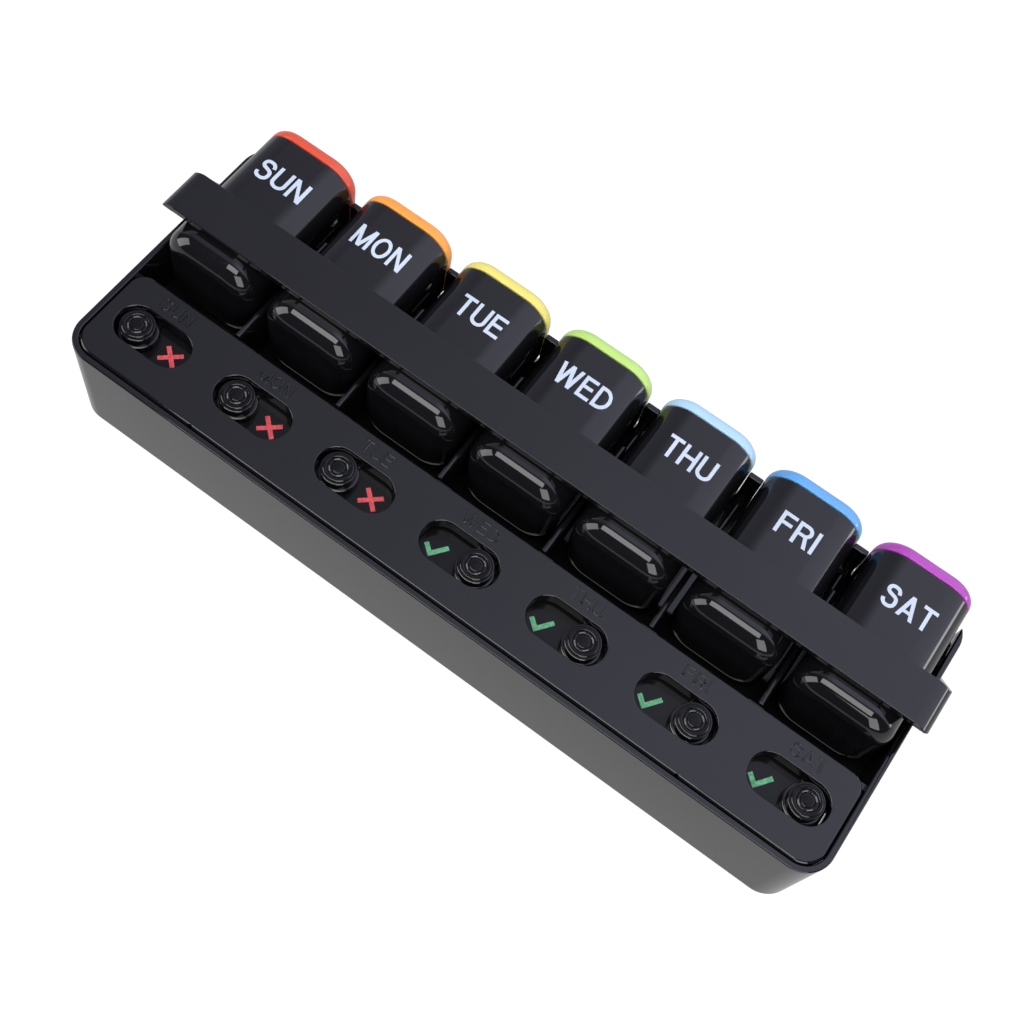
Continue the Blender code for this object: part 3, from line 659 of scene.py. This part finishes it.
def make_panel():
    low, high = PANEL_LOW, PANEL_HIGH
    under, collar_low = RIM - PANEL_THICKNESS, RIM - COLLAR_DROP
    corners = [PANEL_FRONT_CORNER] * 2 + [PANEL_BACK_CORNER] * 2
    outline = rounded((low.x, low.y), (high.x, high.y), corners)
    collars, slots = [], []
    for day in DAYS:
        middle = (day_x(day), SLOT_Y)
        outer = stadium(middle, SLOT_LENGTH + 2 * COLLAR_WALL, SLOT_WIDTH + 2 * COLLAR_WALL)
        collars.append(slab(outer, collar_low, under + SUNK))
        inner = stadium(middle, SLOT_LENGTH, SLOT_WIDTH)
        slots.append(slab(inner, collar_low - PAST, RIM + PAST))
    for side in SIDES.values():
        nick = (side * HALF * NICK_SHARE, low.y)
        slots.append(rod(nick, NICK_RADIUS, under - PAST, RIM + PAST, steps=24))
    plain = eased(slab(outline, under, RIM), PANEL_EDGE, 5, at_level(RIM))
    form = carved(plain, collars, slots)
    mouths = at_level(RIM, collar_low)
    form = eased(form, SLOT_EDGE, 3, lambda edge: mouths(edge) and not at_border(edge, low, high))
    piece("marker_panel", form, BLACK, "tray", ["front_panel"])


# Moving pieces

def make_button(day):
    """A slide marker: a dished top with two ring grooves, a tier, a body and a skirt with wings."""
    node = "slide_button_" + day
    x = middle_x(node)
    low, top = (corner.z for corner in box(node))
    profile = [(radius, top - drop) for radius, drop in MARKER_PROFILE]
    profile += [(MARKER_SKIRT, low), (0.0, low)]
    form = turned(profile, (x, SLOT_Y), steps=96)
    wings = block(
        (x - WING_HALF, SLOT_Y - WING_REACH, RIM - WING_DROPS[0]),
        (x + WING_HALF, SLOT_Y + WING_REACH, RIM - WING_DROPS[1]),
    )
    form = carved(form, joins=[wings])
    made = piece("marker_" + day, form, BLACK, "button_" + day, [node], sharp=0.5)
    made.data.materials.append(DULL)
    for face in made.data.polygons:
        if face.normal.z > 0.97 and face.center.z > (top - DULL_DEPTH) * MM:
            face.material_index = 1
    # Four pale arcs on the ring between the grooves: painted highlights of the lamps on that ridge
    for turn in range(4):
        angle = QUARTER * (turn + 0.5)
        outer, inner = (
            arc((x, SLOT_Y), radius, angle - DASH_TURN, angle + DASH_TURN, 10)
            for radius in DASH_RADII
        )
        dash = slab(outer + inner[::-1], top - 0.05, top + 0.03)
        piece(f"marker_dash_{day}_{turn + 1}", dash, RIDGE_HIGHLIGHT, "button_" + day)


def pod_ring(x, inset, y):
    """A ring of a pod or lid: a round-cornered rectangle in X and Z."""
    half = POD_HALF - inset
    radius = max(POD_CORNER - inset, LEAST_CORNER)
    low, high = (x - half, POD_BOTTOM + inset), (x + half, POD_TOP - inset)
    return [(u, y, v) for u, v in rounded(low, high, [radius] * 4, 12)]


def nose_rings(x, wall, radius, front, steps):
    """Rings round a nose, from its flat front to full size."""
    rings = []
    for i in range(steps + 1):
        a = QUARTER * i / steps
        inset, y = wall + radius * (1 - math.sin(a)), front + radius * (1 - math.cos(a))
        rings.append(pod_ring(x, inset, y))
    return rings


def ear_places(x):
    reach = (KNUCKLE + EAR) / 2 + CLEARANCE
    return (x - reach, x + reach)


def make_pod(day):
    x = day_x(day)
    lip = [(POD_LIP * (1 - math.cos(a)), POD_BACK - POD_LIP + POD_LIP * math.sin(a))
           for a in (0.0, QUARTER / 2, QUARTER)]
    rings = nose_rings(x, 0.0, POD_NOSE, POD_FRONT, 12)
    rings += [pod_ring(x, inset, y) for inset, y in lip]
    rings += [pod_ring(x, POD_WALL - inset, y) for inset, y in reversed(lip)]
    inner = nose_rings(x, POD_WALL, POD_NOSE - POD_WALL, POD_FRONT + POD_WALL, 8)
    form = loft(rings + inner[::-1])
    ears, bores = [], []
    for place in ear_places(x):
        left, right = place - EAR / 2, place + EAR / 2
        ears.append(rod(HINGE, BARREL, left, right, "X", BARREL_EDGE))
        low = (left, POD_BACK - PAST, POD_BOTTOM + EAR_LOW)
        ears.append(block(low, (right, HINGE[0], HINGE_Z + EAR_RISE)))
        ends = (place - EAR_BORE_HALF, place + EAR_BORE_HALF)
        bores.append(rod(HINGE, LID_PIN + PIN_PLAY, *ends, "X", steps=24))
    form = carved(form, ears, bores)
    piece("day_pod_" + day, form, BLACK, "pod_" + day, ["pod_" + day])
    reach = KNUCKLE / 2 + EAR + CLEARANCE
    pin = rod(HINGE, LID_PIN, x - reach, x + reach, "X", PIN_EDGE, 32)
    piece("hinge_pin_" + day, pin, STEEL, "pod_" + day, ["lid_pin_" + day])


def make_lid(day):
    x = day_x(day)
    skirt = LID_FRONT - LID_SKIRT
    outer = POD_WALL + SKIRT_CLEARANCE
    inner = outer + SKIRT_WALL
    profile = [
        (inner, LID_FRONT + LID_RECESS), (inner, skirt + SKIRT_EDGE), (inner - SKIRT_EDGE, skirt),
        (outer + SKIRT_EDGE, skirt), (outer, skirt + SKIRT_EDGE), (outer, LID_FRONT),
    ]
    for a in THIRDS:
        profile.append((LID_LIP * (1 - math.sin(a)), LID_FRONT + LID_LIP * (1 - math.cos(a))))
    for i in range(LID_STEPS + 1):
        a = QUARTER * i / LID_STEPS
        profile.append((LID_ROUND * (1 - math.cos(a)), LID_BACK - LID_ROUND * (1 - math.sin(a))))
    form = loft([pod_ring(x, inset, y) for inset, y in profile])
    reliefs = []
    half = EAR / 2 + CLEARANCE
    for place in ear_places(x):
        low = (place - half, skirt - PAST, POD_BOTTOM - PAST)
        reliefs.append(block(low, (place + half, LID_BACK + PAST, HINGE_Z + RELIEF_RISE)))
    form = carved(form, cuts=reliefs)
    knuckle = rod(HINGE, BARREL, x - KNUCKLE / 2, x + KNUCKLE / 2, "X", BARREL_EDGE)
    ends = (x - KNUCKLE_BORE_HALF, x + KNUCKLE_BORE_HALF)
    bore = rod(HINGE, LID_PIN + PIN_PLAY, *ends, "X", steps=24)
    form = carved(form, [knuckle], [bore])
    piece("end_lid_" + day, form, lid_material(day), "lid_" + day, ["lid_" + day])


def tangent(point, centre, radius, side):
    """The turn at which a line from the point touches the circle, on one side or the other."""
    dx, dy = point[0] - centre[0], point[1] - centre[1]
    return math.atan2(dy, dx) + side * math.acos(radius / math.hypot(dx, dy))


def make_bar():
    """The swing bar, from its outlines seen from the side and from the front."""
    top, outer = BAR_HIGH.z, BAR_HIGH.x
    under, inner = top - BAR_THICKNESS, outer - BAR_THICKNESS
    front, back = BAR_LOW.y, BAR_LOW.y + BAR_WIDTH
    rear = tangent((back, under), PIVOT, ARM_HUB, -1)
    fore = tangent((front, under), PIVOT, ARM_HUB, 1)
    hub = arc(PIVOT, ARM_HUB, rear, fore - 2 * math.pi, 40)
    side_view = [(front, under), (front, top), (back, top), (back, under), *hub]
    low = PIVOT_Z - ARM_HUB - PAST
    fold = BAR_FOLD - BAR_THICKNESS
    outside = rounded((-outer, low), (outer, top), [0, 0, BAR_FOLD, BAR_FOLD])
    inside = rounded((-inner, low), (inner, under), [0, 0, fold, fold])
    front_view = outside[1:] + outside[:1] + inside[:1] + inside[:0:-1]
    strip = slab(side_view, -outer - PAST, outer + PAST, "X")
    folded = slab(front_view, front - PAST, PIVOT_Y + ARM_HUB + PAST, "Y")
    form = eased(carved(strip, within=[folded]), BAR_EDGE, 3)
    cuts = []
    for side in SIDES.values():
        near, far = sorted((side * (inner - PAST), side * (outer + PAST)))
        cuts.append(rod(PIVOT, PIVOT_RADIUS + PIVOT_PLAY, near, far, "X"))
        near, far = sorted((side * (outer - PIVOT_HEAD - CLEARANCE), side * (outer + PAST)))
        cuts.append(rod(PIVOT, PIVOT_HEAD_RADIUS + CLEARANCE, near, far, "X"))
    piece("swing_bar", carved(form, cuts=cuts), BLACK, "bar", ["lock_bar"])


def make_pivots():
    outer = BAR_HIGH.x
    neck, end = outer - PIVOT_HEAD, INSIDE - BOSS
    profile = [
        (0.0, outer), (2.0, outer), (2.5, outer - 0.1), (2.75, outer - 0.3),
        (PIVOT_HEAD_RADIUS, outer - 0.5), (PIVOT_HEAD_RADIUS, neck), (PIVOT_RADIUS, neck),
        (PIVOT_RADIUS, end + PIVOT_TIP), (PIVOT_RADIUS - PIVOT_TIP, end), (0.0, end),
    ]
    for name, side in SIDES.items():
        form = turned([(radius, side * level) for radius, level in profile], PIVOT, "X")
        piece("pivot_head_" + name, form, STEEL, "tray", ["pivot_pin_" + name])


# Words and printed marks

def ribbon(points, width):
    """The outline of a band along the points, with square ends."""
    least_mitre = 0.3
    left, right = [], []
    for i, point in enumerate(points):
        before = points[max(i - 1, 0)]
        after = points[min(i + 1, len(points) - 1)]
        first = Vector((point[0] - before[0], point[1] - before[1]))
        second = Vector((after[0] - point[0], after[1] - point[1]))
        if first.length == 0:
            first = second
        if second.length == 0:
            second = first
        direction = (first.normalized() + second.normalized()).normalized()
        normal = Vector((-direction.y, direction.x))
        mitre = normal.dot(Vector((-first.y, first.x)).normalized())
        reach = width / 2 / max(least_mitre, mitre)
        left.append((point[0] + normal.x * reach, point[1] + normal.y * reach))
        right.append((point[0] - normal.x * reach, point[1] - normal.y * reach))
    return right + left[::-1]


def stroke(points, width, low, high):
    return slab(ribbon(points, width), low, high)


def bar(left, low, right, high):
    return [(left, low), (right, low), (right, high), (left, high)]


def lean(above, below, width):
    """A slanting band from the top of a capital to its foot."""
    return [(below, 0.0), (below + width, 0.0), (above + width, 1.0), (above, 1.0)]


def bowl(straight, right, low, high, left=0.0):
    """A shape with a square left side and a round right side."""
    middle, half = (low + high) / 2, (high - low) / 2
    turns = [math.pi * (i / 16 - 0.5) for i in range(17)]
    side = [(straight + (right - straight) * math.cos(a), middle + half * math.sin(a))
            for a in turns]
    return [(left, low), *side, (left, high)]


def oval(width, inset):
    half = width / 2
    turns = [2 * math.pi * i / 40 for i in range(40)]
    return [(half + (half - inset) * math.cos(a), 0.5 + (0.5 - inset) * math.sin(a))
            for a in turns]


def smooth_path(points, steps=5):
    """A path through the points, with rounded turns."""
    def between(a, b, c, d, f):
        square = 2 * a - 5 * b + 4 * c - d
        cube = 3 * b - a - 3 * c + d
        return 0.5 * (2 * b + (c - a) * f + square * f * f + cube * f ** 3)

    ends = [points[0], *points, points[-1]]
    path = []
    for four in zip(ends, ends[1:], ends[2:], ends[3:]):
        for i in range(steps):
            path.append(tuple(between(*places, i / steps) for places in zip(*four)))
    return path + [points[-1]]


S_PATH = (
    (0.565, 0.70), (0.535, 0.81), (0.45, 0.90), (0.325, 0.925), (0.20, 0.905), (0.115, 0.83),
    (0.105, 0.72), (0.165, 0.63), (0.30, 0.58), (0.43, 0.54), (0.535, 0.47), (0.565, 0.35),
    (0.545, 0.20), (0.45, 0.105), (0.325, 0.075), (0.19, 0.10), (0.10, 0.19), (0.075, 0.31),
)


def capital(letter, w):
    """A capital one unit high in strokes w wide: its width, its shapes and the holes in them."""
    a, b = w / 2, w * 1.1
    stem = bar(0, 0, w, 1)
    if letter == "I":
        return w, [stem], []
    if letter == "T":
        return 0.62, [bar(0.31 - a, 0, 0.31 + a, 1), bar(0, 1 - w, 0.62, 1)], []
    if letter in "EF":
        arms = [bar(0, 1 - w, 0.60, 1), bar(0, 0.53 - a, 0.55, 0.53 + a)]
        if letter == "F":
            return 0.60, [stem, *arms], []
        return 0.62, [stem, *arms, bar(0, 0, 0.62, w)], []
    if letter == "H":
        return 0.68, [stem, bar(0.68 - w, 0, 0.68, 1), bar(0, 0.52 - a, 0.68, 0.52 + a)], []
    if letter == "N":
        return 0.68, [stem, bar(0.68 - w, 0, 0.68, 1), lean(0, 0.68 - b, b)], []
    if letter == "M":
        foot_x = 0.41 - b / 2
        sides = [stem, bar(0.82 - w, 0, 0.82, 1)]
        return 0.82, [*sides, lean(0, foot_x, b), lean(0.82 - b, foot_x, b)], []
    if letter == "W":
        mid, near, far = 0.5 - b / 2, 0.26 - b / 2, 0.74 - b / 2
        leans = [lean(0, near, b), lean(mid, near, b), lean(mid, far, b), lean(1.0 - b, far, b)]
        return 1.0, leans, []
    if letter == "A":
        mid = 0.36 - b / 2
        cross = bar(0.15, 0.22, 0.57, 0.22 + w * 0.9)
        return 0.72, [lean(mid, 0, b), lean(mid, 0.72 - b, b), cross], []
    if letter == "O":
        return 0.76, [oval(0.76, 0.0)], [oval(0.76, w)]
    if letter == "D":
        return 0.70, [bowl(0.24, 0.70, 0, 1)], [bowl(0.24, 0.70 - w, w, 1 - w, w)]
    if letter == "R":
        leg = [(0.68 - b, 0), (0.68, 0), (0.44 + a, 0.5), (0.44 - a, 0.5)]
        hole = bowl(0.36, 0.65 - w, 0.43 + w * 0.9, 1 - w, w)
        return 0.68, [stem, bowl(0.36, 0.65, 0.43, 1), leg], [hole]
    if letter == "U":
        turns = [math.pi + math.pi * i / 16 for i in range(17)]
        across, centre = 0.34 - a, 0.32
        path = [(0.34 + across * math.cos(t), centre + (centre - a) * math.sin(t)) for t in turns]
        return 0.68, [ribbon([(a, 1.0), *path, (0.68 - a, 1.0)], w)], []
    if letter == "S":
        return 0.64, [ribbon(smooth_path(S_PATH), w)], []
    raise ValueError("no capital for " + letter)


def lettering(text, height, width, thickness, weight, space):
    """The word as a form about its middle, with its capitals this high and the word this wide."""
    word = bmesh.new()
    start = 0.0
    for letter in text:
        wide, shapes, holes = capital(letter, weight)
        first, *others = [slab([(start + u, v) for u, v in shape], 0.0, 1.0) for shape in shapes]
        gone = [slab([(start + u, v) for u, v in hole], -0.5, 1.5) for hole in holes]
        form = carved(first, others, gone, merge=0.00002) if others or gone else first
        mesh = bpy.data.meshes.new("letter")
        form.to_mesh(mesh)
        form.free()
        word.from_mesh(mesh)
        bpy.data.meshes.remove(mesh)
        start += wide + space
    length = start - space
    bmesh.ops.translate(word, vec=(-length / 2, -0.5, -0.5), verts=word.verts)
    bmesh.ops.scale(word, vec=(width / length, height, thickness), verts=word.verts)
    return word


def sliced(form, reach):
    """The form cut into strips half a millimetre wide."""
    for step in range(-reach, reach + 1):
        geometry = form.verts[:] + form.edges[:] + form.faces[:]
        place = (step * 0.5, 0, 0)
        bmesh.ops.bisect_plane(form, geom=geometry, plane_co=place, plane_no=(1, 0, 0))
    return form


def crown(offset):
    """How far the pod's top has dropped at this distance from its middle."""
    past = abs(offset) - (POD_HALF - POD_CORNER)
    return 0.0 if past <= 0 else POD_CORNER - math.sqrt(max(POD_CORNER ** 2 - past ** 2, 0.0))


LABEL_WIDTHS = {
    "sun": 15.1, "mon": 15.6, "tue": 13.6, "wed": 16.0, "thu": 14.3, "fri": 11.1, "sat": 14.0}
LABEL_HEIGHT = 6.6
LABEL_THICKNESS = 0.05
LABEL_WEIGHT = 0.15
LABEL_SPACE = 0.11
LABEL_Y = 26.1


def make_label(day):
    """The printed day name, laid over the pod's crown."""
    x = day_x(day)
    size = (LABEL_HEIGHT, LABEL_WIDTHS[day], LABEL_THICKNESS)
    form = sliced(lettering(day.upper(), *size, LABEL_WEIGHT, LABEL_SPACE), 17)
    for vert in form.verts:
        u, v, w = vert.co
        vert.co = (x + u, LABEL_Y + v, POD_TOP - crown(u) + w + 0.01)
    piece("label_" + day, form, PRINT, "pod_" + day)


NAME_WIDTHS = {
    "sun": 9.6, "mon": 10.0, "tue": 9.0, "wed": 10.6, "thu": 9.4, "fri": 7.6, "sat": 9.5}
NAME_HEIGHT = 3.7
NAME_THICKNESS = 0.64
NAME_WEIGHT = 0.14
NAME_SPACE = 0.13
NAME_EDGE = 0.1
NAME_SHIFT = 0.2
NAME_Y = -16.55


def make_name(day):
    """The day name raised on the panel, half sunk in it."""
    size = (NAME_HEIGHT, NAME_WIDTHS[day], NAME_THICKNESS)
    form = lettering(day.upper(), *size, NAME_WEIGHT, NAME_SPACE)
    form = sliced(eased(form, NAME_EDGE, 2, at_level(NAME_THICKNESS / 2)), 11)
    place = (day_x(day) + NAME_SHIFT, NAME_Y, RIM + 0.02)
    bmesh.ops.translate(form, vec=place, verts=form.verts)
    piece("raised_name_" + day, form, BLACK, "tray")


# Marks, from the middle of a well
TICK = ((-9.1, -0.5), (-6.7, -2.5), (-3.7, 1.5))
TICK_WIDTH = 1.25
CROSS_X = 5.2
CROSS_ACROSS = 2.45
CROSS_UP = 2.2
CROSS_WIDTH = 1.2


def make_marks(day):
    """The tick and the cross on the floor of a well."""
    x, y = day_x(day), SLOT_Y
    low, high = PLATE_HIGH.z - 0.02, PLATE_HIGH.z + 0.05
    tick = stroke([(x + u, y + v) for u, v in TICK], TICK_WIDTH, low, high)
    piece("tick_" + day, tick, GREEN, "tray")
    left, right = x + CROSS_X - CROSS_ACROSS, x + CROSS_X + CROSS_ACROSS
    one, other = (
        stroke([(left, y - up), (right, y + up)], CROSS_WIDTH, low, high)
        for up in (CROSS_UP, -CROSS_UP)
    )
    piece("cross_" + day, carved(one, [other]), RED, "tray")


make_tray()
make_base()
make_feet()
make_screws()
make_panel()
make_bar()
make_pivots()
for day in DAYS:
    make_button(day)
    make_pod(day)
    make_lid(day)
    make_label(day)
    make_name(day)
    make_marks(day)
frame["nodes"]["slot_plate"].data.materials.clear()
frame["nodes"]["slot_plate"].data.materials.append(SATIN)


# Floor, light and camera: lengths from here on are metres

FLOOR_HALF = 4.0
FLOOR_DROP = 0.0002
FLOOR_TONE = (0.16, 0.16, 0.162, 1.0)
FLOOR_LIFT = 0.9
FLOOR_MIRRORED = 0.45


def make_floor():
    """A grey floor that looks white to the camera, dimmer in mirrors, and clear from below."""
    form = bmesh.new()
    bmesh.ops.create_grid(form, x_segments=1, y_segments=1, size=FLOOR_HALF)
    bmesh.ops.translate(form, vec=(0, 0, -FLOOR_DROP), verts=form.verts)
    floor = from_form(form, "floor")
    tree = Tree(bpy.data.materials.new("white_floor"), "Principled BSDF")
    tree.set(Base_Color=FLOOR_TONE, Roughness=0.6, Specular_IOR_Level=0.0)
    path = tree.add("LightPath").outputs
    mirrored = tree.combine("MAXIMUM", path["Is Glossy Ray"], path["Is Transmission Ray"])
    mirrored = tree.span(mirrored, 0.0, 1.0, 0.0, FLOOR_MIRRORED)
    lift = tree.span(path["Is Camera Ray"], 0.0, 1.0, mirrored, FLOOR_LIFT)
    glow = tree.add("Emission", Color=(1.0, 1.0, 1.0, 1.0), Strength=lift)
    above = tree.add("AddShader", _0=tree.shader.outputs[0], _1=glow.outputs[0])
    clear = tree.add("BsdfTransparent")
    below = tree.add("NewGeometry").outputs["Backfacing"]
    sides = tree.add("MixShader", _0=below, _1=above.outputs[0], _2=clear.outputs[0])
    tree.links.new(sides.outputs[0], tree.nodes["Material Output"].inputs["Surface"])
    floor.data.materials.append(tree.holder)


# The world: its level at the left, at the right and everywhere, and its tint off camera
LEFT_LEVEL = 0.32
RIGHT_LEVEL = 1.2
ROOM_LEVEL = 0.08
WORLD_TINT = (0.93, 0.95, 1.18)


def make_world():
    """A pale backdrop and ceiling behind the object, dimmer to the left, a dim room in front."""
    world = bpy.data.worlds.new("studio")
    bpy.context.scene.world = world
    tree = Tree(world, "Background")
    place = tree.nodes.new("ShaderNodeTexCoord").outputs["Generated"]
    x, y, _ = tree.add("SeparateXYZ", _0=place).outputs
    smooth = {"interpolation_type": "SMOOTHSTEP"}
    across = tree.span(x, -0.55, 0.30, LEFT_LEVEL, RIGHT_LEVEL, smooth)
    behind = tree.span(y, 0.08, 0.25, 0.0, 1.0, smooth)
    level = tree.combine("ADD", tree.combine("MULTIPLY", across, behind), ROOM_LEVEL)
    seen = tree.add("LightPath").outputs["Is Camera Ray"]
    level = tree.span(seen, 0.0, 1.0, level, 1.0)
    tint = tree.blend(tree.span(seen, 0.0, 1.0, 1.0, 0.0), (1.0, 1.0, 1.0), WORLD_TINT)
    tree.set(Color=tint, Strength=level)


def softbox(name, direction, distance, size, level, up=(0, 0, 1)):
    """A rectangular lamp this far off, upright, with its brightness as seen from the object."""
    light = bpy.data.lights.new(name, "AREA")
    light.shape = "RECTANGLE"
    light.size, light.size_y = size
    light.energy = level * math.pi * size[0] * size[1]
    holder = bpy.data.objects.new(name, light)
    bpy.context.scene.collection.objects.link(holder)
    away = Vector(direction).normalized()
    side = Vector(up).cross(away).normalized()
    turn = Matrix((side, away.cross(side), away)).transposed().to_4x4()
    holder.matrix_world = Matrix.Translation(away * distance) @ turn


def make_lights():
    softbox("overhead", (-0.07, -0.20, 0.97), 1.0, (0.74, 0.46), 5.0, (0, 1, 0))
    softbox("left", (-0.80, -0.40, 0.42), 1.0, (0.5, 0.85), 3.6)
    softbox("side", (0.93, 0.38, 0.085), 1.0, (0.34, 0.15), 4.0)
    softbox("right", (0.56, -0.61, 0.56), 1.0, (0.55, 0.8), 3.8)


# The camera as fitted to the photograph: its lens, its place and its three directions
CAMERA_LENS = 50.46
CAMERA_SENSOR = 36.0
CAMERA_START = 0.02
CAMERA_PLACE = (0.05151, -0.14725, 0.35669)
CAMERA_RIGHT = Vector((0.81122, 0.57127, 0.12478))
CAMERA_DOWN = Vector((0.56914, -0.72244, -0.39263))
CAMERA_FORWARD = Vector((-0.13415, 0.38953, -0.91119))


def make_camera():
    camera = bpy.data.cameras.new("camera")
    camera.lens = CAMERA_LENS
    camera.sensor_width = CAMERA_SENSOR
    camera.clip_start = CAMERA_START
    holder = bpy.data.objects.new("camera", camera)
    bpy.context.scene.collection.objects.link(holder)
    turn = Matrix((CAMERA_RIGHT, -CAMERA_DOWN, -CAMERA_FORWARD)).transposed().to_4x4()
    holder.matrix_world = Matrix.Translation(CAMERA_PLACE) @ turn
    bpy.context.scene.camera = holder


make_floor()
make_world()
make_lights()
make_camera()
bpy.context.scene.view_settings.view_transform = "Standard"
